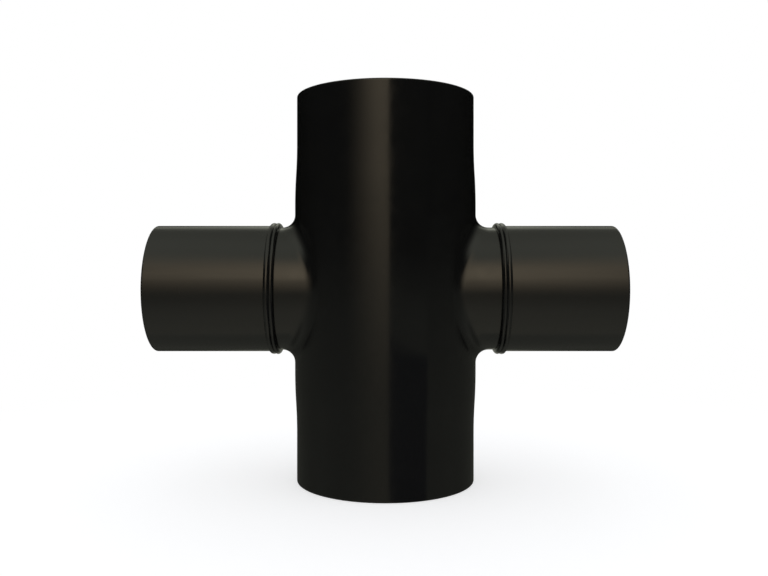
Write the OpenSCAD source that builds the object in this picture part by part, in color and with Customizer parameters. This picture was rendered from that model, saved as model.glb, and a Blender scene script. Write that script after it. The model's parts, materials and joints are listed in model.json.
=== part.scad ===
// Reducing pipe cross in black polyethylene, for butt fusion.
// The run stands along Z. The two smaller branches leave it along X.
// The origin is where the axes of the run and the branches meet.
// All lengths are in millimetres.

/* [Run] */
// Outside diameter of the run at its two spigots
run_od = 225; // [200:1:250]
// Wall of the run at its spigots
run_wall = 20.5; // [12:0.5:25]
// Length of the run from end face to end face
run_len = 487; // [450:1:600]

/* [Thick middle] */
// How far the middle of the run stands proud of its spigots
swell = 2.5; // [1:0.5:6]
// How far the wall of the middle also stands in, inside the run
inner_swell = 2; // [1:0.5:4]
// How far the full thickness runs on past the fillet of a branch
swell_margin = 8; // [5:0.5:20]
// Length over which the thick middle blends into a spigot
blend_len = 80; // [30:1:90]

/* [Branches] */
// Outside diameter of the branches
branch_od = 160; // [125:1:170]
// Wall of the branches
branch_wall = 14.6; // [7:0.1:18]
// Length over both branches from end face to end face
branch_span = 580; // [540:1:720]
// How far the moulded outlets lie below the surface of the pipes welded to them
outlet_relief = 2; // [0:0.25:2.5]
// Straight part of the left moulded outlet, from its fillet to the weld
left_outlet = 7.5; // [7:0.5:30]
// Straight part of the right moulded outlet, from its fillet to the weld
right_outlet = 13.5; // [7:0.5:30]

/* [Roundings] */
// Radius of the fillet above and below a branch
fillet_r = 16; // [8:0.5:18]
// Radius of the fillet in front of a branch and behind it
flank_fillet_r = 26; // [8:0.5:30]
// Radius of the rounding where the bores cross
bore_edge_r = 5; // [3:0.5:8]
// Chamfer on the edges of the four cut ends
edge_break = 1; // [0.5:0.25:2]

/* [Weld beads] */
// Height of a bead above the pipe, and radius of each of its two rolls
bead_h = 3.6; // [3:0.1:5.5]
// Distance between the crests of the two rolls
bead_pitch = 5.4; // [3:0.2:7]

/* [Hidden] */
$fn = 96;
black_pe = [0.1, 0.1, 0.095];

run_r = run_od / 2;
run_bore_r = run_r - run_wall;
body_r = run_r + swell;
body_bore_r = run_bore_r - inner_swell;
branch_r = branch_od / 2;
branch_bore_r = branch_r - branch_wall;
outlet_r = branch_r - outlet_relief;

// The thick middle reaches this far above and below the branch axis.
middle_half = branch_r + fillet_r + swell_margin;
left_weld = body_r + fillet_r + left_outlet;
right_weld = body_r + fillet_r + right_outlet;

// Steps along one arc of the blend and round a saddle
blend_steps = 6;
saddle_steps = 60;
// Radius of rounding that gets one step across its arc, and the fewest steps
arc_step_r = 3;
arc_steps_min = 3;
// How deep a saddle reaches into its neighbours, and its edge sinks
saddle_root = 3;
saddle_sink = 0.08;
// How far a cutter runs past what it cuts
past = 5;

// Height of a curve made of two equal arcs that leaves 0 level and reaches 1 level.
function two_arcs(t, span, rise) =
    let (r = (span * span + rise * rise) / (4 * rise), u = min(t, 1 - t) * span)
    let (h = (r - sqrt(r * r - u * u)) / rise)
    t < 0.5 ? h : 1 - h;

// Blend of a wall from its radius at a spigot to the middle's, as [radius, height], downwards.
function blend_outline(r, rise) = [
    for (i = [0 : 2 * blend_steps])
        let (t = i / (2 * blend_steps))
        [r + rise * two_arcs(t, blend_len, abs(rise)), middle_half + blend_len * (1 - t)]
];

// Turns an outline of the upper half, from the top down, and its mirror image round the run's axis
module turned(upper) {
    lower = [for (i = [len(upper) - 1 : -1 : 0]) [upper[i][0], -upper[i][1]]];
    rotate_extrude()
        polygon(concat(upper, lower));
}

// The run without its bore
module run_solid() {
    face = run_len / 2;
    turned(concat(
        [[0, face], [run_r - edge_break, face], [run_r, face - edge_break]],
        blend_outline(run_r, swell)
    ));
}

// The bore of the run, with the chamfers of its two mouths
module run_bore() {
    face = run_len / 2;
    mouth_r = run_bore_r + edge_break;
    turned(concat(
        [[0, face + past], [mouth_r + past, face + past], [run_bore_r, face - edge_break]],
        blend_outline(run_bore_r, -inner_swell)
    ));
}

// Points of the ball-rolled fillet between the run and a branch, at one turn about the branch.
// The ball grows from radius f_top above and below the branch to f_flank beside it, and its
// centre stays at (r_run + f) from the Z axis and (r_branch + f) from the X axis.
function saddle_section(r_run, r_branch, f_top, f_flank, turn) =
    let (
        f = f_top + (f_flank - f_top) * pow(sin(turn), 2),
        arc_steps = max(arc_steps_min, ceil(f_flank / arc_step_r)),
        across = [0, sin(turn), cos(turn)],
        ball = (r_branch + f) * across
            + [sqrt(pow(r_run + f, 2) - pow((r_branch + f) * sin(turn), 2)), 0, 0],
        to_run = -[ball.x, ball.y, 0] / (r_run + f),
        to_branch = -across,
        bend = acos(to_run * to_branch),
        on_run = ball + (f + saddle_sink) * to_run,
        on_branch = ball + (f + saddle_sink) * to_branch,
        deep = (r_branch - saddle_root) * across
    )
    concat(
        [ball + (f + saddle_root) * to_run, on_run],
        [
            for (i = [1 : arc_steps - 1])
                let (s = i / arc_steps)
                ball + f * (to_run * sin((1 - s) * bend) + to_branch * sin(s * bend)) / sin(bend)
        ],
        [
            on_branch,
            ball + (f + saddle_root) * to_branch,
            deep + [sqrt(pow(r_run - saddle_root, 2) - pow(deep.y, 2)), 0, 0]
        ]
    );

// Ring that fills the corner between a run and a branch along +X up to the rolled ball
module saddle(r_run, r_branch, f_top, f_flank) {
    rings = [
        for (k = [0 : saddle_steps - 1])
            saddle_section(r_run, r_branch, f_top, f_flank, 360 * k / saddle_steps)
    ];
    m = len(rings[0]);
    polyhedron(
        points = [for (ring = rings) each ring],
        faces = [
            for (k = [0 : saddle_steps - 1], j = [0 : m - 1])
                let (k2 = (k + 1) % saddle_steps, j2 = (j + 1) % m)
                each [
                    [k * m + j, k2 * m + j2, k * m + j2],
                    [k * m + j, k2 * m + j, k2 * m + j2]
                ]
        ]
    );
}

// Turns what stands along +Z to lie along the branch at +X or, for side -1, at -X
module along_branch(side) {
    rotate([0, 90 * side, 0])
        children();
}

// The rolls that one side's melt made, outside the wall and in the bore.
// Side 1 is the pipe's, beyond the weld, and side -1 is the moulded outlet's, before it.
// Both sides' crests stand equally far above the pipe.
module rolls(weld, side) {
    reach = bead_pitch / 2 + bead_h + past;
    rotate_extrude()
        intersection() {
            for (r = [branch_r, branch_bore_r])
                translate([r, weld + side * bead_pitch / 2])
                    circle(r = bead_h);
            translate([0, side > 0 ? weld : weld - reach])
                square([branch_od, reach]);
        }
}

// Moulded body: the run, its thick middle and an outlet to each side, with its rolls of the beads
module cross_body() {
    color(black_pe)
        union() {
            difference() {
                union() {
                    run_solid();
                    along_branch(1)
                        cylinder(r = outlet_r, h = right_weld);
                    along_branch(-1)
                        cylinder(r = outlet_r, h = left_weld);
                    saddle(body_r, outlet_r, fillet_r, flank_fillet_r);
                    mirror([1, 0, 0])
                        saddle(body_r, outlet_r, fillet_r, flank_fillet_r);
                }
                run_bore();
                along_branch(1)
                    cylinder(r = branch_bore_r, h = right_weld + past);
                along_branch(-1)
                    cylinder(r = branch_bore_r, h = left_weld + past);
                saddle(body_bore_r, branch_bore_r, bore_edge_r, bore_edge_r);
                mirror([1, 0, 0])
                    saddle(body_bore_r, branch_bore_r, bore_edge_r, bore_edge_r);
            }
            along_branch(1)
                rolls(right_weld, -1);
            along_branch(-1)
                rolls(left_weld, -1);
        }
}

// Length of pipe welded to an outlet, from the weld to its cut end, with its rolls of the bead
module spigot(weld) {
    face = branch_span / 2;
    color(black_pe)
        union() {
            rotate_extrude()
                polygon([
                    [branch_bore_r, weld],
                    [branch_r, weld],
                    [branch_r, face - edge_break],
                    [branch_r - edge_break, face],
                    [branch_bore_r + edge_break, face],
                    [branch_bore_r, face - edge_break]
                ]);
            rolls(weld, 1);
        }
}

module left_spigot() {
    along_branch(-1)
        spigot(left_weld);
}

module right_spigot() {
    along_branch(1)
        spigot(right_weld);
}

cross_body();
left_spigot();
right_spigot();
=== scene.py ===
"""Reducing pipe cross in black polyethylene: a moulded body with two pipes butt-fused to its outlets.

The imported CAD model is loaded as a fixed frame, and three finished pieces stand for its three nodes:
the moulded body, and a length of pipe to the left and to the right. All lengths are in metres.
The run stands along Z, the branches leave it along X, and the camera looks along +Y.
"""

import json
import math

import bmesh
import bpy
import numpy as np
from bpy.props import FloatProperty
from bpy.props import FloatVectorProperty
from bpy.props import PointerProperty
from bpy.types import Operator
from bpy.types import Panel
from bpy.types import PropertyGroup
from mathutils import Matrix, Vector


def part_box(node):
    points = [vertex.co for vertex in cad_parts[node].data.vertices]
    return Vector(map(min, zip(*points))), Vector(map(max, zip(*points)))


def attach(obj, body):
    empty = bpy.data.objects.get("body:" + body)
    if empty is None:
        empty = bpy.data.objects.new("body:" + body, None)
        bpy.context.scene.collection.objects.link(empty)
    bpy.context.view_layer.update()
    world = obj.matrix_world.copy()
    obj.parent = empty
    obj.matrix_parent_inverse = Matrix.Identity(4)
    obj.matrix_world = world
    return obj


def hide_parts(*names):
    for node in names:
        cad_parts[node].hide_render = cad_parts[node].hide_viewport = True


bl_info = {
    "name": "Reducing pipe cross",
    "version": (1, 0, 0),
    "blender": (4, 5, 0),
    "location": "View3D > Sidebar > Pipe cross",
    "description": "Dresses the CAD model of a butt-fused polyethylene pipe cross and lights it",
    "category": "Object",
}

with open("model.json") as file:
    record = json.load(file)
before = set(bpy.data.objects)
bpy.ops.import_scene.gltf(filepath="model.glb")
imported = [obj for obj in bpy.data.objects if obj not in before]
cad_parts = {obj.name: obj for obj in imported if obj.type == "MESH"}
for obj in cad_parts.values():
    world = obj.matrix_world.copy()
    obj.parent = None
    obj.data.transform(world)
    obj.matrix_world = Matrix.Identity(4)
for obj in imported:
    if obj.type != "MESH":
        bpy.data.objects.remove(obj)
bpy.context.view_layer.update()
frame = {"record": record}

MM = 0.001
MOUNTS = {mount["name"]: mount for mount in frame["record"]["mounts"]}


def mount_radius(name):
    """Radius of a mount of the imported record, in metres."""
    return MOUNTS[name]["dims"]["r_mm"] * MM


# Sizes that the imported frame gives
RUN_R = mount_radius("top_pipe_end")
RUN_BORE_R = mount_radius("top_bore")
BRANCH_R = mount_radius("left_pipe_end")
BRANCH_BORE_R = mount_radius("left_bore")
HALF_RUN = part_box("cross_body")[1].z
BODY_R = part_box("cross_body")[1].y
LEFT_WELD = -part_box("left_spigot")[1].x
RIGHT_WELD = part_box("right_spigot")[0].x
HALF_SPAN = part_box("right_spigot")[1].x
FLOOR_Z = -HALF_RUN

# Sizes that repeat the part's source
OUTLET_RELIEF = 2 * MM
OUTLET_R = BRANCH_R - OUTLET_RELIEF
INNER_SWELL = 2 * MM
MIDDLE_HALF = 104 * MM
BLEND_LEN = 80 * MM
BORE_EDGE_R = 5 * MM

# How far the front and the back of the thick middle stand in from a full circle, and the distances to
# the side, as shares of the middle's radius, between which that goes to nothing
FRONT_RELIEF = 1.7 * MM
RELIEF_SIDES = (0.5, 1.15)

# Turn of a roll of a bead from its crest to its foot, which is tucked under
ROLL_TUCK = math.radians(102)
# Phase of the wander of each bead, so that no two of them look alike
BEAD_PHASE = {"right_outlet": 0.4, "left_outlet": 2.2, "right_pipe": 1.7, "left_pipe": 3.9}

# Cells of the grids: round the run, up its middle, and round a pipe
ROUND = 192
MIDDLE_ROWS = 60
PIPE_ROUND = 192
# Cells across a blend, a roll, the rounded edge of an end and the mouth of its bore
BLEND_ROWS = 18
ROLL_ROWS = 14
EDGE_ROWS = 6
MOUTH_ROWS = 4
# Cells along an outlet, over its fillet and on to the border on the run, outside and inside
OUTER_ROWS = (6, 12, 16)
INNER_ROWS = (6, 6, 12)
# How far the rows of a straight wall keep from an edge, from a blend and from a weld
EDGE_MARGIN = 1 * MM
BLEND_MARGIN = 5 * MM
WELD_MARGIN = 10 * MM

# Points nearer than this are merged, and an edge that turns by more than this looks sharp
MERGE_DISTANCE = 0.002 * MM
SHARP_ANGLE = math.radians(50)

# Finishes of a piece, in the order of its material slots
SKIN, CUT, MELT = 0, 1, 2


def linear(hex_colour):
    """Turns an sRGB hex colour to linear red, green, blue and alpha."""
    channels = [int(hex_colour[i:i + 2], 16) / 255 for i in (1, 3, 5)]
    return tuple(c / 12.92 if c <= 0.04045 else ((c + 0.055) / 1.055) ** 2.4 for c in channels) + (1.0,)


def length(name, description, default_mm):
    """A length property with its default in millimetres."""
    return FloatProperty(
        name=name, description=description, default=default_mm * MM, min=0.0, precision=4, unit="LENGTH"
    )


def colour(name, description, hex_colour):
    """A colour property with its default as an sRGB hex value."""
    return FloatVectorProperty(
        name=name, description=description, default=linear(hex_colour)[:3], size=3, min=0.0, max=1.0,
        subtype="COLOR"
    )


class PipeCrossSizes(PropertyGroup):
    """Sizes of the roundings and the weld beads"""

    fillet: length("Fillet", "Radius of the fillet above and below a branch", 16.0)
    flank_fillet: length("Flank fillet", "Radius of the fillet in front of a branch and behind it", 26.0)
    end_edge: length("End edge", "Rounding of the outer edge of the four cut ends", 1.8)
    bore_mouth: length("Bore mouth", "Rounding of the inner edge of the four cut ends", 0.8)
    bead_height: length("Bead height", "Height of the weld bead above the pipe", 3.6)
    bead_notch: length("Bead notch", "Height above the pipe of the notch between the two rolls", 2.4)
    roll_width: length("Roll width", "Half the width of one roll of the bead", 3.6)
    bead_wander: length("Bead wander", "How far a bead's height and its edge wander round the pipe", 0.25)


class PipeCrossColours(PropertyGroup):
    """Colours of the polyethylene and of the studio"""

    moulded_dark: colour("Moulded, dark", "Darker tone of the moulded body", "#0d0d0d")
    moulded_pale: colour("Moulded, pale", "Paler tone of the moulded body", "#121212")
    pipe_dark: colour("Pipe, dark", "Darker tone of the extruded pipe", "#0e0e0e")
    pipe_pale: colour("Pipe, pale", "Paler tone of the extruded pipe", "#141414")
    cut_dark: colour("Cut, dark", "Darker tone of a planed end", "#161616")
    cut_pale: colour("Cut, pale", "Paler tone of a planed end", "#232322")
    melt: colour("Melt", "Tone of the weld beads", "#0d0d0d")
    scuff: colour("Scuff", "Tone of faint scuffs", "#272829")
    floor: colour("Floor", "The pale floor", "#dcdee2")


# Meshes

def eased(value, low, high, start, end):
    """Goes from start to end along a smooth step, as the value goes from low to high."""
    t = np.clip((value - low) / (high - low), 0, 1)
    return start + (end - start) * t ** 2 * (3 - 2 * t)


def grid_cells(rows, columns, joined_rows, joined_columns):
    """Four corners of each cell between neighbouring rows and columns of a grid of points.

    A joined direction also gets the cells between its last line and its first.
    """
    index = np.arange(rows * columns).reshape(rows, columns)
    if joined_rows:
        index = np.concatenate([index, index[:1]], axis=0)
    if joined_columns:
        index = np.concatenate([index, index[:, :1]], axis=1)
    corners = [index[:-1, :-1], index[:-1, 1:], index[1:, 1:], index[1:, :-1]]
    return np.stack(corners, axis=-1).reshape(-1, 4)


def sheet(points, finishes, joined_rows=False):
    """One grid surface, joined across its columns, with a finish for each strip between two rows."""
    rows, columns = points.shape[:2]
    cells = grid_cells(rows, columns, joined_rows, True)
    return points.reshape(-1, 3), cells, np.repeat(np.asarray(finishes), columns)


def make_piece(name, sheets, materials):
    """Joins the sheets to one closed mesh, merged where they meet, with its faces turned outwards."""
    counts = np.cumsum([0] + [len(points) for points, _, _ in sheets])
    points = np.concatenate([points for points, _, _ in sheets])
    cells = np.concatenate([cells + start for (_, cells, _), start in zip(sheets, counts)])
    finishes = np.concatenate([finish for _, _, finish in sheets])
    mesh = bpy.data.meshes.new(name)
    mesh.vertices.add(len(points))
    mesh.vertices.foreach_set("co", points.astype(np.float32).ravel())
    mesh.loops.add(cells.size)
    mesh.loops.foreach_set("vertex_index", cells.astype(np.int32).ravel())
    mesh.polygons.add(len(cells))
    mesh.polygons.foreach_set("loop_start", np.arange(0, cells.size, 4, dtype=np.int32))
    mesh.polygons.foreach_set("material_index", finishes.astype(np.int32))
    mesh.update(calc_edges=True)
    shell = bmesh.new()
    shell.from_mesh(mesh)
    bmesh.ops.remove_doubles(shell, verts=shell.verts, dist=MERGE_DISTANCE)
    bmesh.ops.recalc_face_normals(shell, faces=shell.faces)
    open_edges = sum(len(edge.link_faces) != 2 for edge in shell.edges)
    shell.to_mesh(mesh)
    shell.free()
    if open_edges:
        raise RuntimeError(f"{name} has {open_edges} edges that don't join two faces")
    mesh.polygons.foreach_set("use_smooth", np.ones(len(mesh.polygons), dtype=bool))
    mesh.set_sharp_from_angle(angle=SHARP_ANGLE)
    for material in materials:
        mesh.materials.append(material)
    piece = bpy.data.objects.new(name, mesh)
    bpy.context.scene.collection.objects.link(piece)
    return piece


def two_arcs(t):
    """Height of a curve of two equal arcs, taken as parabolas, that leaves 0 level and reaches 1 level."""
    return np.where(t < 0.5, 2 * t ** 2, 1 - 2 * (1 - t) ** 2)


def corner_arc(centre, radius, start, end, steps):
    """Points of an arc as (radius, height): the centre plus the radius turned from start to end degrees."""
    angle = np.radians(np.linspace(start, end, steps + 1))
    return np.stack([centre[0] + radius * np.cos(angle), centre[1] + radius * np.sin(angle)], axis=-1)


def wander(turn, phase):
    """Sum of four sines of the turn about the pipe, over the sum of their heights, as melt wanders."""
    slow = np.sin(2 * turn + phase) + 0.7 * np.sin(3 * turn + 2.1 * phase)
    quick = 0.45 * np.sin(7 * turn + 3.3 * phase) + 0.3 * np.sin(11 * turn + 5.2 * phase)
    return (slow + quick) / 2.45


def roll(base_r, crest, notch, half_width, turn, phase, amount, inward=False):
    """One roll of a bead, from the notch at the weld over the crest to the foot on the pipe.

    It is part of an ellipse: distance from the weld = middle + half width times the sine of an angle, and
    height = lift + (crest - lift) times its cosine. The angle ends past 90 degrees, so that the foot tucks
    under. The wander goes into the crest's height and the foot's place, and is nothing at the notch.
    Returns the distances from the weld and the radii as arrays of rows by turns.
    """
    lift = crest * -math.cos(ROLL_TUCK) / (1 - math.cos(ROLL_TUCK))
    start = -math.acos((notch - lift) / (crest - lift))
    angle = np.linspace(start, ROLL_TUCK, ROLL_ROWS + 1)[:, None]
    share = (angle - start) / (ROLL_TUCK - start)
    middle = -half_width * math.sin(start)
    melt = wander(turn, phase)[None, :] * amount
    along = middle + half_width * np.sin(angle) + melt * share ** 2
    height = lift + (crest - lift) * np.cos(angle) + melt * np.sin(np.pi * share) ** 2
    return along, base_r + height * (-1 if inward else 1)


def about_x(side, along, radius, turn):
    """Points at a distance along X on the given side, at a radius and a turn from +Z towards +Y."""
    along, radius, turn = np.broadcast_arrays(along, radius, turn)
    return np.stack([side * along, radius * np.sin(turn), radius * np.cos(turn)], axis=-1)


def patch_frame():
    """Border of the half of the run's middle round one outlet, as angles about the run and heights.

    It goes round a rectangle of 180 degrees by the height of the middle, from the top towards +Y.
    The turn is the angle of each border point about the outlet, on the unrolled outer surface.
    """
    right = math.pi / 2
    quarter = ROUND // 4
    half = ROUND // 2
    angle = np.concatenate([
        np.linspace(0, right, quarter, endpoint=False),
        np.full(MIDDLE_ROWS, right),
        np.linspace(right, -right, half, endpoint=False),
        np.full(MIDDLE_ROWS, -right),
        np.linspace(-right, 0, quarter, endpoint=False),
    ])
    height = np.concatenate([
        np.full(quarter, MIDDLE_HALF),
        np.linspace(MIDDLE_HALF, -MIDDLE_HALF, MIDDLE_ROWS, endpoint=False),
        np.full(half, -MIDDLE_HALF),
        np.linspace(-MIDDLE_HALF, MIDDLE_HALF, MIDDLE_ROWS, endpoint=False),
        np.full(quarter, MIDDLE_HALF),
    ])
    return angle, height, np.arctan2(BODY_R * angle, height)


def outlet_skin(side, run_r, branch_r, fillet, flank_fillet, along, radius, steps):
    """Skin from the weld along an outlet and over its fillet to the border on the run's middle.

    along and radius are the rows of the bead's roll. From its foot the outlet is a cylinder. The fillet is
    an arc of a ball that touches the outlet and the run: its radius grows with the squared sine of the
    turn, and its centre stays one ball's radius off both surfaces. From where the ball touches the run,
    the angle and the height go evenly to the border, at the run's radius. steps are the rows of the
    cylinder, the fillet and the run.
    """
    border_angle, border_height, turn = patch_frame()
    ball_r = fillet + (flank_fillet - fillet) * np.sin(turn) ** 2
    reach = branch_r + ball_r
    ball_x = np.sqrt((run_r + ball_r) ** 2 - (reach * np.sin(turn)) ** 2)
    ball = np.stack([ball_x, reach * np.sin(turn), reach * np.cos(turn)], axis=-1)
    to_branch = -np.stack([np.zeros_like(turn), np.sin(turn), np.cos(turn)], axis=-1)
    to_run = -ball * [1, 1, 0] / (run_r + ball_r)[:, None]
    bend = np.arccos(np.sum(to_branch * to_run, axis=-1))[None, :, None]
    t = np.linspace(0, 1, steps[0] + 1)[1:, None]
    straight = about_x(1, along[-1] * (1 - t) + ball_x * t, branch_r, turn)
    t = np.linspace(0, 1, steps[1] + 1)[1:, None, None]
    ball_point = (to_branch * np.sin((1 - t) * bend) + to_run * np.sin(t * bend)) / np.sin(bend)
    rounded = ball + ball_r[:, None] * ball_point
    t = np.linspace(0, 1, steps[2] + 1)[1:, None]
    angle = np.arctan2(ball[:, 1], ball[:, 0]) * (1 - t) + border_angle * t
    height = ball[:, 2] * (1 - t) + border_height * t
    open_run = np.stack([run_r * np.cos(angle), run_r * np.sin(angle), height], axis=-1)
    points = np.concatenate([about_x(1, along, radius, turn), straight, rounded, open_run])
    finishes = [MELT] * (len(along) - 1) + [SKIN] * sum(steps)
    return points * [side, 1, 1], finishes


def drawn_in(points):
    """Draws the front and the back of the thick middle in, and leaves its sides and the outlets.

    y is multiplied by 1 minus a share of the relief: the share is 1 over the middle, follows the blend of
    two arcs to 0 at a spigot, and goes along a smooth step to 0 where an outlet's fillet ends.
    """
    near, far = RELIEF_SIDES
    blend = np.clip((MIDDLE_HALF + BLEND_LEN - np.abs(points[..., 2])) / BLEND_LEN, 0, 1)
    share = two_arcs(blend) * eased(np.abs(points[..., 0]), near * BODY_R, far * BODY_R, 1.0, 0.0)
    shallower = 1 - FRONT_RELIEF / BODY_R * share
    return points * np.stack([np.ones_like(share), shallower, np.ones_like(share)], axis=-1)


def cut_end(sizes, outer_r, bore_r, end, shares):
    """Outline of a cut end as (radius, height), from the outside in.

    It goes round the outer edge, across the face at the given shares of the wall and round the bore's
    mouth. Each rounding is a quarter of a circle.
    """
    edge = sizes.end_edge
    mouth = sizes.bore_mouth
    return np.concatenate([
        corner_arc((outer_r - edge, end - edge), edge, 0, 90, EDGE_ROWS),
        [[outer_r - (outer_r - bore_r) * share, end] for share in shares],
        corner_arc((bore_r + mouth, end - mouth), mouth, 90, 180, MOUTH_ROWS),
    ])


def planed_strips(first, end):
    """Strips of an outline that the planer cut, where the cut end's points begin at the first index.

    They go from the middle of the outer edge to the middle of the mouth.
    """
    return slice(first + EDGE_ROWS // 2, first + len(end) - 1 - MOUTH_ROWS // 2)


def run_end(sizes, side):
    """Outline of one end of the run as (radius, height), turned round Z.

    It goes from the thick middle down a blend of two arcs to the spigot, round the outer edge, across the
    cut face, round the bore's mouth and back along the bore to the middle.
    """
    t = np.linspace(0, 1, BLEND_ROWS + 1)
    blend_z = MIDDLE_HALF + BLEND_LEN * t
    outer_r = BODY_R + (RUN_R - BODY_R) * two_arcs(t)
    inner_r = RUN_BORE_R - INNER_SWELL * (1 - two_arcs(t))
    near_edge = HALF_RUN - sizes.end_edge - EDGE_MARGIN
    straight = [[RUN_R, blend_z[-1] + (near_edge - blend_z[-1]) * share] for share in (0.1, 0.4, 0.8, 1.0)]
    end = cut_end(sizes, RUN_R, RUN_BORE_R, HALF_RUN, (0.14, 0.5, 0.88))
    outline = np.concatenate([
        np.stack([outer_r, blend_z], axis=-1),
        straight,
        end,
        [[RUN_BORE_R, near_edge], [RUN_BORE_R, blend_z[-1] + BLEND_MARGIN]],
        np.stack([inner_r, blend_z], axis=-1)[::-1],
    ])
    turn = np.linspace(-math.pi / 2, 1.5 * math.pi, ROUND + 1)[:-1]
    radius = outline[:, :1]
    height = np.broadcast_to(outline[:, 1:] * side, (len(outline), ROUND))
    points = np.stack([radius * np.cos(turn), radius * np.sin(turn), height], axis=-1)
    points[:len(t)] = drawn_in(points[:len(t)])
    finishes = np.full(len(outline) - 1, SKIN)
    finishes[planed_strips(len(t) + len(straight), end)] = CUT
    return sheet(points, finishes)


def moulded_outlet(sizes, side, weld, phase):
    """Skins of one outlet: outside with its roll of the bead, across the weld, and inside with its roll."""
    turn = patch_frame()[2]
    notch_r = BRANCH_R + sizes.bead_notch
    crest = sizes.bead_height + OUTLET_RELIEF
    along, radius = roll(
        OUTLET_R, crest, notch_r - OUTLET_R, sizes.roll_width, turn, phase, sizes.bead_wander
    )
    outer, outer_finishes = outlet_skin(
        side, BODY_R, OUTLET_R, sizes.fillet, sizes.flank_fillet, weld - along, radius, OUTER_ROWS
    )
    along, radius = roll(
        BRANCH_BORE_R, sizes.bead_height, sizes.bead_notch, sizes.roll_width, turn, phase + 1,
        sizes.bead_wander, inward=True
    )
    inner, inner_finishes = outlet_skin(
        side, RUN_BORE_R - INNER_SWELL, BRANCH_BORE_R, BORE_EDGE_R, BORE_EDGE_R, weld - along, radius,
        INNER_ROWS
    )
    points = np.concatenate([drawn_in(outer)[::-1], inner])
    return sheet(points, outer_finishes[::-1] + [MELT] + inner_finishes)


def pipe_surface(sizes, side, weld, phase):
    """A length of pipe with its rolls of the bead: a closed outline carried round X.

    The outline goes from the notch over the outer roll, along the pipe, round the edge of its cut end,
    across the end, round the mouth of the bore and back along the bore and over the inner roll.
    """
    turn = np.linspace(0, 2 * math.pi, PIPE_ROUND + 1)[:-1]
    span = HALF_SPAN - weld
    outer_along, outer_r = roll(
        BRANCH_R, sizes.bead_height, sizes.bead_notch, sizes.roll_width, turn, phase, sizes.bead_wander
    )
    inner_along, inner_r = roll(
        BRANCH_BORE_R, sizes.bead_height, sizes.bead_notch, sizes.roll_width, turn, phase + 1,
        sizes.bead_wander, inward=True
    )
    near_end = span - sizes.end_edge - EDGE_MARGIN
    straight = [[BRANCH_R, height] for height in np.linspace(WELD_MARGIN, near_end, 5)]
    end = cut_end(sizes, BRANCH_R, BRANCH_BORE_R, span, (0.18, 0.5, 0.85))
    bore = [[BRANCH_BORE_R, height] for height in (near_end, span / 2, WELD_MARGIN)]
    outline = np.concatenate([straight, end, bore])
    ones = np.ones_like(turn)
    along = np.concatenate([outer_along, outline[:, 1:] * ones, inner_along[::-1]])
    radius = np.concatenate([outer_r, outline[:, :1] * ones, inner_r[::-1]])
    finishes = np.full(len(along), SKIN)
    finishes[:len(outer_along) - 1] = MELT
    finishes[-len(inner_along):] = MELT
    finishes[planed_strips(len(outer_along) + len(straight), end)] = CUT
    points = about_x(side, weld + along, radius, turn)
    return sheet(points, finishes, joined_rows=True)


# Materials

def add(tree, kind, inputs=None, **settings):
    """Adds a node, sets it, and fills its inputs with values or links."""
    node = tree.nodes.new(kind)
    for name, value in settings.items():
        setattr(node, name, value)
    for key, value in (inputs or {}).items():
        if isinstance(value, bpy.types.NodeSocket):
            tree.links.new(value, node.inputs[key])
        else:
            node.inputs[key].default_value = value
    return node


def new_material(name):
    """An empty material with its node tree."""
    material = bpy.data.materials.new(name)
    material.use_nodes = True
    material.node_tree.nodes.clear()
    return material, material.node_tree


def rgba(property_colour):
    """A colour property with its alpha."""
    return tuple(property_colour) + (1.0,)


def grain(tree, size, detail=2.0, stretch=(1.0, 1.0, 1.0)):
    """Noise on object coordinates whose cells are about size metres wide, times stretch along each axis."""
    place = add(tree, "ShaderNodeTexCoord").outputs["Object"]
    scale = tuple(1 / (size * factor) for factor in stretch)
    mapping = add(tree, "ShaderNodeMapping", {"Vector": place, "Scale": scale})
    noise = add(tree, "ShaderNodeTexNoise", {"Vector": mapping.outputs[0], "Scale": 1.0, "Detail": detail})
    return noise.outputs[0]


def scuff_marks(tree, size, stretch, patch_size):
    """Fine scuffs: the peaks of a stretched grain, kept where a coarse grain has its patches."""
    peaks = add(tree, "ShaderNodeMapRange", {
        "Value": grain(tree, size, 2.0, stretch), "From Min": 0.70, "From Max": 0.78, "To Max": 0.35
    }, interpolation_type="SMOOTHSTEP")
    patches = add(tree, "ShaderNodeMapRange", {
        "Value": grain(tree, patch_size, 1.0), "From Min": 0.52, "From Max": 0.66
    }, interpolation_type="SMOOTHSTEP")
    marks = add(tree, "ShaderNodeMath", {0: peaks.outputs[0], 1: patches.outputs[0]}, operation="MULTIPLY")
    return marks.outputs[0]


def skin_tone(tree, mottle, dark, pale, scuffs, scuff):
    """Colour of a skin: two tones mixed by a mottle, and a third one where it is scuffed."""
    tone = add(tree, "ShaderNodeMix", {0: mottle, 6: rgba(dark), 7: rgba(pale)}, data_type="RGBA")
    scuffed = add(tree, "ShaderNodeMix", {0: scuffs, 6: tone.outputs[2], 7: rgba(scuff)}, data_type="RGBA")
    return scuffed.outputs[2]


def satin_gloss(tree, pattern, glossiest, dullest, scuffs):
    """Roughness of a skin: from its glossiest to its dullest with a pattern, and duller on scuffs."""
    satin = add(tree, "ShaderNodeMapRange", {
        "Value": pattern, "From Min": 0.3, "From Max": 0.7, "To Min": glossiest, "To Max": dullest
    }, interpolation_type="SMOOTHSTEP")
    dulled = add(tree, "ShaderNodeMath", {0: scuffs, 1: 0.3, 2: satin.outputs[0]}, operation="MULTIPLY_ADD")
    return dulled.outputs[0]


def relief(tree, *layers):
    """Normal of a surface with layers of relief, each a height map from 0 to 1 and its height in metres."""
    below = {}
    for height_map, height in layers:
        inputs = {"Height": height_map, "Strength": 1.0, "Distance": height}
        below = {"Normal": add(tree, "ShaderNodeBump", {**inputs, **below}).outputs[0]}
    return below["Normal"]


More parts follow.
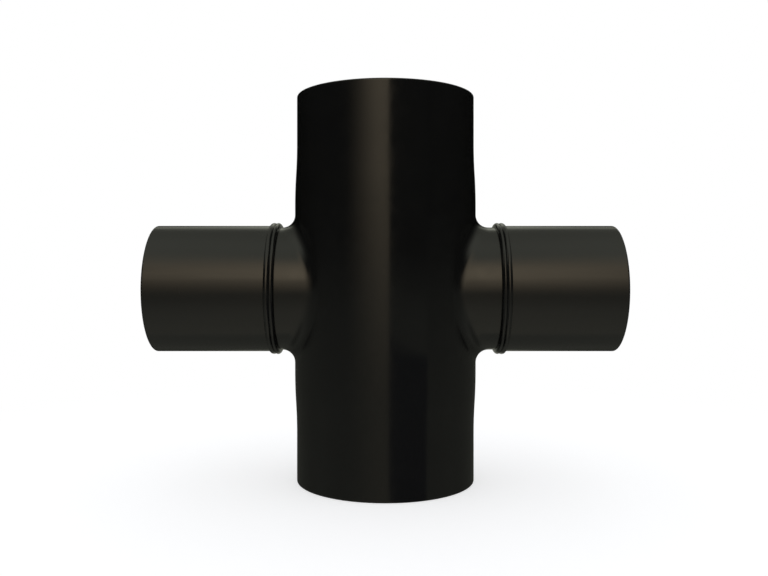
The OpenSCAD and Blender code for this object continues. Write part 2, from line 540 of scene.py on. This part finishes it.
def polyethylene(tree, tone, roughness, normal):
    """Gives the tree a polyethylene shader with the finish's colour, roughness and relief."""
    inputs = {"Base Color": tone, "Roughness": roughness, "Normal": normal, "IOR": 1.5}
    shader = add(tree, "ShaderNodeBsdfPrincipled", inputs)
    add(tree, "ShaderNodeOutputMaterial", {"Surface": shader.outputs[0]})


def moulded_polyethylene(colours):
    """Injection-moulded polyethylene, black with carbon: even satin gloss over a faintly rippled skin."""
    material, tree = new_material("moulded_polyethylene_skin")
    scuffs = scuff_marks(tree, 3 * MM, (14.0, 1.0, 1.0), 60 * MM)
    mottle = grain(tree, 30 * MM, 3.0)
    tone = skin_tone(tree, mottle, colours.moulded_dark, colours.moulded_pale, scuffs, colours.scuff)
    gloss = satin_gloss(tree, grain(tree, 14 * MM, 4.0), 0.15, 0.21, scuffs)
    ripple = grain(tree, 45 * MM, 1.0)
    peel = grain(tree, 3.5 * MM, 2.0)
    polyethylene(tree, tone, gloss, relief(tree, (ripple, 0.12 * MM), (peel, 0.006 * MM)))
    return material


def extruded_polyethylene(colours):
    """Extruded polyethylene pipe: satin gloss with fine draw lines along the pipe from the die."""
    material, tree = new_material("extruded_polyethylene_skin")
    scuffs = scuff_marks(tree, 2.5 * MM, (1.0, 5.0, 5.0), 50 * MM)
    mottle = grain(tree, 10 * MM, 3.0, (12.0, 1.0, 1.0))
    tone = skin_tone(tree, mottle, colours.pipe_dark, colours.pipe_pale, scuffs, colours.scuff)
    gloss = satin_gloss(tree, grain(tree, 6 * MM, 3.0, (15.0, 1.0, 1.0)), 0.19, 0.25, scuffs)
    ripple = grain(tree, 40 * MM, 1.0, (3.0, 1.0, 1.0))
    lines = grain(tree, 1.6 * MM, 2.0, (120.0, 1.0, 1.0))
    polyethylene(tree, tone, gloss, relief(tree, (ripple, 0.10 * MM), (lines, 0.004 * MM)))
    return material


def planed_polyethylene(colours, axis):
    """Polyethylene end faced by a planer: duller, with fine rings from the turning blade about the axis.

    The rings are the sine of the distance from the axis. The blade's steps are drawn 1.2 mm apart, coarser
    than the real ones, so that they show.
    """
    step = 1.2 * MM
    material, tree = new_material(f"planed_polyethylene_{axis.lower()}")
    place = add(tree, "ShaderNodeTexCoord").outputs["Object"]
    flat = (0.0, 1.0, 1.0) if axis == "X" else (1.0, 1.0, 0.0)
    across = add(tree, "ShaderNodeVectorMath", {0: place, 1: flat}, operation="MULTIPLY").outputs[0]
    radius = add(tree, "ShaderNodeVectorMath", {0: across}, operation="LENGTH").outputs["Value"]
    loose = {0: grain(tree, 8 * MM, 2.0), 1: 0.6 * MM, 2: radius}
    radius = add(tree, "ShaderNodeMath", loose, operation="MULTIPLY_ADD").outputs[0]
    turns = add(tree, "ShaderNodeMath", {0: radius, 1: 2 * math.pi / step}, operation="MULTIPLY")
    wave = add(tree, "ShaderNodeMath", {0: turns.outputs[0]}, operation="SINE").outputs[0]
    rings = add(tree, "ShaderNodeMath", {0: wave, 1: 0.5, 2: 0.5}, operation="MULTIPLY_ADD").outputs[0]
    broken = {0: rings, 1: grain(tree, 4 * MM, 3.0)}
    streaks = add(tree, "ShaderNodeMath", broken, operation="MULTIPLY").outputs[0]
    tones = {0: streaks, 6: rgba(colours.cut_dark), 7: rgba(colours.cut_pale)}
    tone = add(tree, "ShaderNodeMix", tones, data_type="RGBA").outputs[2]
    dull = add(tree, "ShaderNodeMapRange", {
        "Value": streaks, "From Max": 0.7, "To Min": 0.34, "To Max": 0.46
    }).outputs[0]
    polyethylene(tree, tone, dull, relief(tree, (rings, 0.02 * MM)))
    return material


def fused_polyethylene(colours):
    """Polyethylene that melted and set in the air: the glossiest finish, finely wrinkled across the bead."""
    material, tree = new_material("fused_polyethylene_bead")
    tones = {0: grain(tree, 5 * MM, 2.0), 6: rgba(colours.melt), 7: rgba(colours.moulded_pale)}
    tone = add(tree, "ShaderNodeMix", tones, data_type="RGBA").outputs[2]
    gloss = add(tree, "ShaderNodeMapRange", {
        "Value": grain(tree, 6 * MM, 2.0), "From Min": 0.3, "From Max": 0.7, "To Min": 0.14, "To Max": 0.22
    }).outputs[0]
    wrinkles = grain(tree, 2.2 * MM, 2.0, (6.0, 1.0, 1.0))
    polyethylene(tree, tone, gloss, relief(tree, (wrinkles, 0.05 * MM)))
    return material


# Stage

WHITE = "#ffffff"
# Tints of the light: the window's, the cloth's and the ground's, and that of the black flag's foot
WINDOW_TINT = "#ffeccb"
CLOTH_TINT = "#fcffec"
FLAG_TINT = "#f4f8ff"

# Radii of the floor and the tent, and how far the floor lies below the object
FLOOR_R = 3.0
TENT_R = 30.0
FLOOR_GAP = 0.2 * MM


def seen_plainly(tree):
    """1 for what the camera sees, in the open, in a gloss or through glass, and 0 for all other light."""
    path = add(tree, "ShaderNodeLightPath").outputs
    direct = {0: path["Is Camera Ray"], 1: path["Is Glossy Ray"]}
    direct = add(tree, "ShaderNodeMath", direct, operation="MAXIMUM").outputs[0]
    shown = {0: direct, 1: path["Is Transmission Ray"]}
    return add(tree, "ShaderNodeMath", shown, operation="MAXIMUM").outputs[0]


def set_world():
    """White for what the camera, a gloss or a glass sees, and faint for all other light."""
    world = bpy.data.worlds.new("white_background")
    bpy.context.scene.world = world
    world.use_nodes = True
    world.cycles.sampling_method = "NONE"
    tree = world.node_tree
    tree.nodes.clear()
    faint = add(tree, "ShaderNodeBackground", {"Color": linear(WHITE), "Strength": 0.3}).outputs[0]
    white = add(tree, "ShaderNodeBackground", {"Color": linear(WHITE), "Strength": 1.0}).outputs[0]
    shown = add(tree, "ShaderNodeMixShader", {0: seen_plainly(tree), 1: faint, 2: white}).outputs[0]
    add(tree, "ShaderNodeOutputWorld", {"Surface": shown})


def stage_piece(name, points, cells, material):
    """Puts a surface of the studio into the scene, in its place in its mesh."""
    mesh = bpy.data.meshes.new(name)
    mesh.from_pydata(points.tolist(), [], cells)
    mesh.materials.append(material)
    piece = bpy.data.objects.new(name, mesh)
    bpy.context.scene.collection.objects.link(piece)
    return piece


def make_floor(colours):
    """Pale floor under the object. The camera sees it white in the open and darker in the object's shadow.

    It is a flat disc: rings of points whose distance from the middle grows evenly, closed at the middle.
    """
    rings = 12
    columns = 64
    turn = np.linspace(0, 2 * math.pi, columns + 1)[:-1]
    reach = np.linspace(FLOOR_R / rings, FLOOR_R, rings)[:, None]
    flat = np.full((rings, columns), FLOOR_Z - FLOOR_GAP)
    points = np.stack([reach * np.cos(turn), reach * np.sin(turn), flat], axis=-1).reshape(-1, 3)
    cells = grid_cells(rings, columns, False, True)[:, ::-1].tolist() + [list(range(columns))]
    # Rolled matt paint: dull and even, with a faint mottle from the roller
    material, tree = new_material("painted_floor")
    pale = rgba(colours.floor)
    darker = tuple(channel * 0.96 for channel in pale[:3]) + (1.0,)
    tones = {0: grain(tree, 12 * MM, 2.0), 6: pale, 7: darker}
    tone = add(tree, "ShaderNodeMix", tones, data_type="RGBA").outputs[2]
    paint = add(tree, "ShaderNodeBsdfPrincipled", {"Base Color": tone, "Roughness": 0.8}).outputs[0]
    # The camera sees the paint lifted near the object, and plain white further out
    lift = add(tree, "ShaderNodeEmission", {"Color": linear(WHITE), "Strength": 0.60}).outputs[0]
    near = add(tree, "ShaderNodeAddShader", {0: paint, 1: lift}).outputs[0]
    far = add(tree, "ShaderNodeEmission", {"Color": linear(WHITE), "Strength": 1.0}).outputs[0]
    place = add(tree, "ShaderNodeTexCoord").outputs["Object"]
    sideways = {0: place, 1: (1.0, 1.0, 0.0)}
    across = add(tree, "ShaderNodeVectorMath", sideways, operation="MULTIPLY").outputs[0]
    distance = add(tree, "ShaderNodeVectorMath", {0: across}, operation="LENGTH").outputs["Value"]
    fade = add(tree, "ShaderNodeMapRange", {
        "Value": distance, "From Min": 0.25, "From Max": 0.9
    }, interpolation_type="SMOOTHSTEP").outputs[0]
    open_floor = add(tree, "ShaderNodeMixShader", {0: fade, 1: near, 2: far}).outputs[0]
    floor = add(tree, "ShaderNodeMixShader", {0: seen_plainly(tree), 1: paint, 2: open_floor}).outputs[0]
    add(tree, "ShaderNodeOutputMaterial", {"Surface": floor})
    stage_piece("floor", points, cells, material).visible_glossy = False


def shining_surface(name, points, cells, light):
    """A shining surface of the studio, out of the camera's sight.

    light gives each point's red, green and blue as glosses see it, and as a fourth number the strength of
    the white light that it sheds on all dull surfaces.
    """
    # Woven cloth with the light behind it or on it: it glows softly and has no gloss
    material, tree = new_material(name + "_cloth")
    shade = add(tree, "ShaderNodeAttribute", attribute_name="light").outputs
    gloss = add(tree, "ShaderNodeEmission", {"Color": shade["Color"], "Strength": 1.0}).outputs[0]
    dull_light = {"Color": linear(WHITE), "Strength": shade["Alpha"]}
    soft = add(tree, "ShaderNodeEmission", dull_light).outputs[0]
    path = add(tree, "ShaderNodeLightPath").outputs
    both = add(tree, "ShaderNodeMixShader", {0: path["Is Diffuse Ray"], 1: gloss, 2: soft}).outputs[0]
    add(tree, "ShaderNodeOutputMaterial", {"Surface": both})
    material.cycles.emission_sampling = "NONE"
    piece = stage_piece(name, points, cells, material)
    attribute = piece.data.attributes.new("light", "FLOAT_COLOR", "POINT")
    attribute.data.foreach_set("color", light.astype(np.float32).ravel())
    piece.visible_camera = False
    return piece


def tent_light(points):
    """Light that comes from each point of the tent.

    All angles are in degrees: up is the height over the horizon, wide the turn from the front about Z,
    aside the angle to the side of the upright plane through the camera, and over the turn in that plane
    from the front, over the top. Each part is a product of smooth steps of these angles.
    """
    x, y, z = (points / np.linalg.norm(points, axis=-1, keepdims=True)).T
    up = np.degrees(np.arcsin(z))
    wide = np.abs(np.degrees(np.arctan2(x, -y)))
    aside = np.degrees(np.arcsin(x))
    to_side = np.abs(aside)
    over = np.degrees(np.arctan2(z, -y))
    # Window high in front. Low down it is broad and soft, with a faint upright bar a little right of its
    # middle. Above that it has firm sides.
    height = eased(up, -10, 13.5, 0.12, 1.15) + eased(up, 11, 22, 0.0, 0.70)
    height = height * eased(up, 30, 64, 1.0, 0.0) * eased(wide, 80, 100, 1.0, 0.0)
    broad = eased(aside, -52, 10, 0.0, 1.0) * eased(aside, 4, 40, 1.0, 0.0)
    bar = eased(aside, -12, 2, 0.0, 0.16) * eased(aside, 3, 9, 1.0, 0.0)
    broad = broad * (1 - bar * eased(up, 0, 10, 0.0, 1.0))
    firm = eased(to_side, 0, 26, 1.0, 0.55) * eased(to_side, 20, 32, 1.0, 0.0)
    share = eased(up, 14, 20, 0.0, 1.0)
    window = height * (broad * (1 - share) + firm * share)
    # Cloth overhead, which fades to the back and to the sides, and a second window high behind
    cloth = eased(over, 32, 66, 0.0, 1.0) * eased(up, 15, 40, 0.0, 1.0) * eased(over, 70, 140, 0.68, 0.19)
    cloth = cloth * eased(to_side, 36, 60, 1.0, 0.3)
    rear = eased(over, 137, 149, 0.0, 0.45) * eased(up, 19, 30, 0.0, 1.0) * eased(to_side, 20, 40, 1.0, 0.0)
    # Ground: pale near the object's foot, and dimmer behind it and steeply down at both sides
    edge = 1 - eased(wide, 80, 170, 0.0, 0.6) * eased(up, -45, -25, 0.0, 1.0)
    ground = eased(up, -4, 2.5, 0.108, 0.0) * edge
    ground = ground + eased(up, -50, -4, 1.0, 0.0) * eased(over, -150, -66, 0.0, 0.17)
    ground = ground * (1 - eased(to_side, 20, 36, 0.0, 0.5) * eased(up, -50, -35, 1.0, 0.0))
    # Upright strip straight behind, and a faint haze all round
    strip = eased(wide, 164, 175, 0.0, 0.30) * eased(up, -34, -24, 0.0, 1.0) * eased(up, 34, 52, 1.0, 0.0)
    haze = eased(wide, 60, 150, 0.028, 0.004)
    neutral = cloth + rear + ground + strip + haze
    light = window[:, None] * linear(WINDOW_TINT)[:3] + neutral[:, None] * linear(CLOTH_TINT)[:3]
    # What dull surfaces get: soft white light, stronger from above
    white = eased(up, -20, 50, 0.30, 0.70)
    return np.concatenate([light, white[:, None]], axis=1)


def make_tent():
    """Studio tent round the object, which lights it and shows in its gloss.

    It is a sphere so large that its light depends on the direction alone: the radius times the cosines and
    sines of an azimuth and an elevation, with a flat cap at each pole.
    """
    rows = 180
    columns = 360
    azimuth = np.linspace(0, 2 * math.pi, columns + 1)[:-1]
    elevation = np.radians(np.linspace(-89.5, 89.5, rows))[:, None]
    points = TENT_R * np.stack([
        np.cos(elevation) * np.cos(azimuth),
        np.cos(elevation) * np.sin(azimuth),
        np.sin(elevation) * np.ones_like(azimuth),
    ], axis=-1).reshape(-1, 3)
    cells = grid_cells(rows, columns, False, True)[:, ::-1].tolist()
    caps = [list(range(columns)), list(range(len(points) - columns, len(points)))[::-1]]
    shining_surface("studio_tent", points, cells + caps, tent_light(points))


def make_flag():
    """Black flag in front of the run, which only glosses see: it keeps the light's right half off the run.

    It is a flat upright panel, a grid of two columns between its near and its far edge. Its foot glows
    faintly. Past a soft step it is as pale as the ground that it stands before, and fades to its head.
    """
    near = (0.084, -0.13)
    far = (0.046, -0.65)
    bottom = FLOOR_Z - 0.15
    top = 0.40
    step = (-0.088, -0.074)
    height = np.linspace(bottom, top, 161)
    points = np.array([(*side, level) for level in height for side in (near, far)])
    cells = grid_cells(len(height), 2, False, False).tolist()
    up = points[:, 2, None]
    foot = eased(up, *step, 0.065, 0.0) * linear(FLAG_TINT)
    head = eased(up, *step, 0.0, 0.15) * linear(CLOTH_TINT)
    light = (foot + head) * eased(up, -0.05, 0.055, 1.0, 0.25)
    flag = shining_surface("black_flag", points, cells, light)
    flag.visible_diffuse = False
    flag.visible_shadow = False


def make_camera():
    """Level camera a little above the branches, 1.03 m in front of the run's axis."""
    data = bpy.data.cameras.new("camera")
    data.sensor_width = 36.0
    data.lens = 37.75
    data.shift_x = -0.0018
    data.shift_y = -0.0218
    camera = bpy.data.objects.new("camera", data)
    camera.location = (0.0, -1.032, 0.022)
    camera.rotation_euler = (math.pi / 2, 0.0, 0.0)
    bpy.context.scene.collection.objects.link(camera)
    bpy.context.scene.camera = camera


# Operators and panel

def dress(piece, node):
    """Puts a finished piece in place of its CAD node."""
    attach(piece, "root")
    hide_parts(node)


class PIPECROSS_OT_moulded_body(Operator):
    """Make the moulded body with its two outlets"""

    bl_idname = "pipe_cross.moulded_body"
    bl_label = "Moulded body"

    def execute(self, context):
        sizes = context.scene.pipe_cross_sizes
        colours = context.scene.pipe_cross_colours
        sheets = [
            run_end(sizes, 1),
            run_end(sizes, -1),
            moulded_outlet(sizes, 1, RIGHT_WELD, BEAD_PHASE["right_outlet"]),
            moulded_outlet(sizes, -1, LEFT_WELD, BEAD_PHASE["left_outlet"]),
        ]
        finishes = [
            moulded_polyethylene(colours),
            planed_polyethylene(colours, "Z"),
            fused_polyethylene(colours),
        ]
        piece = make_piece("moulded_cross", sheets, finishes)
        dress(piece, "cross_body")
        return {"FINISHED"}


class PIPECROSS_OT_welded_pipes(Operator):
    """Make the two lengths of pipe that are welded to the outlets"""

    bl_idname = "pipe_cross.welded_pipes"
    bl_label = "Welded pipes"

    def execute(self, context):
        sizes = context.scene.pipe_cross_sizes
        colours = context.scene.pipe_cross_colours
        finishes = [
            extruded_polyethylene(colours),
            planed_polyethylene(colours, "X"),
            fused_polyethylene(colours),
        ]
        for name, side, weld in (("right_pipe", 1, RIGHT_WELD), ("left_pipe", -1, LEFT_WELD)):
            piece = make_piece(name, [pipe_surface(sizes, side, weld, BEAD_PHASE[name])], finishes)
            dress(piece, name.replace("pipe", "spigot"))
        return {"FINISHED"}


class PIPECROSS_OT_studio(Operator):
    """Make the floor, the studio light and the camera"""

    bl_idname = "pipe_cross.studio"
    bl_label = "Studio"

    def execute(self, context):
        scene = context.scene
        scene.view_settings.view_transform = "Standard"
        set_world()
        make_floor(scene.pipe_cross_colours)
        make_tent()
        make_flag()
        make_camera()
        return {"FINISHED"}


class PIPECROSS_PT_sidebar(Panel):
    """Lists the pieces of the pipe cross with their sizes and colours"""

    bl_idname = "PIPECROSS_PT_sidebar"
    bl_label = "Pipe cross"
    bl_space_type = "VIEW_3D"
    bl_region_type = "UI"
    bl_category = "Pipe cross"

    def draw(self, context):
        for group in (context.scene.pipe_cross_sizes, context.scene.pipe_cross_colours):
            column = self.layout.column()
            for name in group.__annotations__:
                column.prop(group, name)
        for operator in OPERATORS:
            self.layout.operator(operator.bl_idname)


OPERATORS = (PIPECROSS_OT_moulded_body, PIPECROSS_OT_welded_pipes, PIPECROSS_OT_studio)
CLASSES = (PipeCrossSizes, PipeCrossColours) + OPERATORS + (PIPECROSS_PT_sidebar,)


def register():
    """Registers the classes and puts the sizes and colours on the scene."""
    for cls in CLASSES:
        bpy.utils.register_class(cls)
    bpy.types.Scene.pipe_cross_sizes = PointerProperty(type=PipeCrossSizes)
    bpy.types.Scene.pipe_cross_colours = PointerProperty(type=PipeCrossColours)


def unregister():
    """Takes the sizes, the colours and the classes away again."""
    del bpy.types.Scene.pipe_cross_colours
    del bpy.types.Scene.pipe_cross_sizes
    for cls in reversed(CLASSES):
        bpy.utils.unregister_class(cls)


def main():
    register()
    bpy.ops.pipe_cross.studio()
    bpy.ops.pipe_cross.moulded_body()
    bpy.ops.pipe_cross.welded_pipes()


if __name__ == "__main__":
    main()
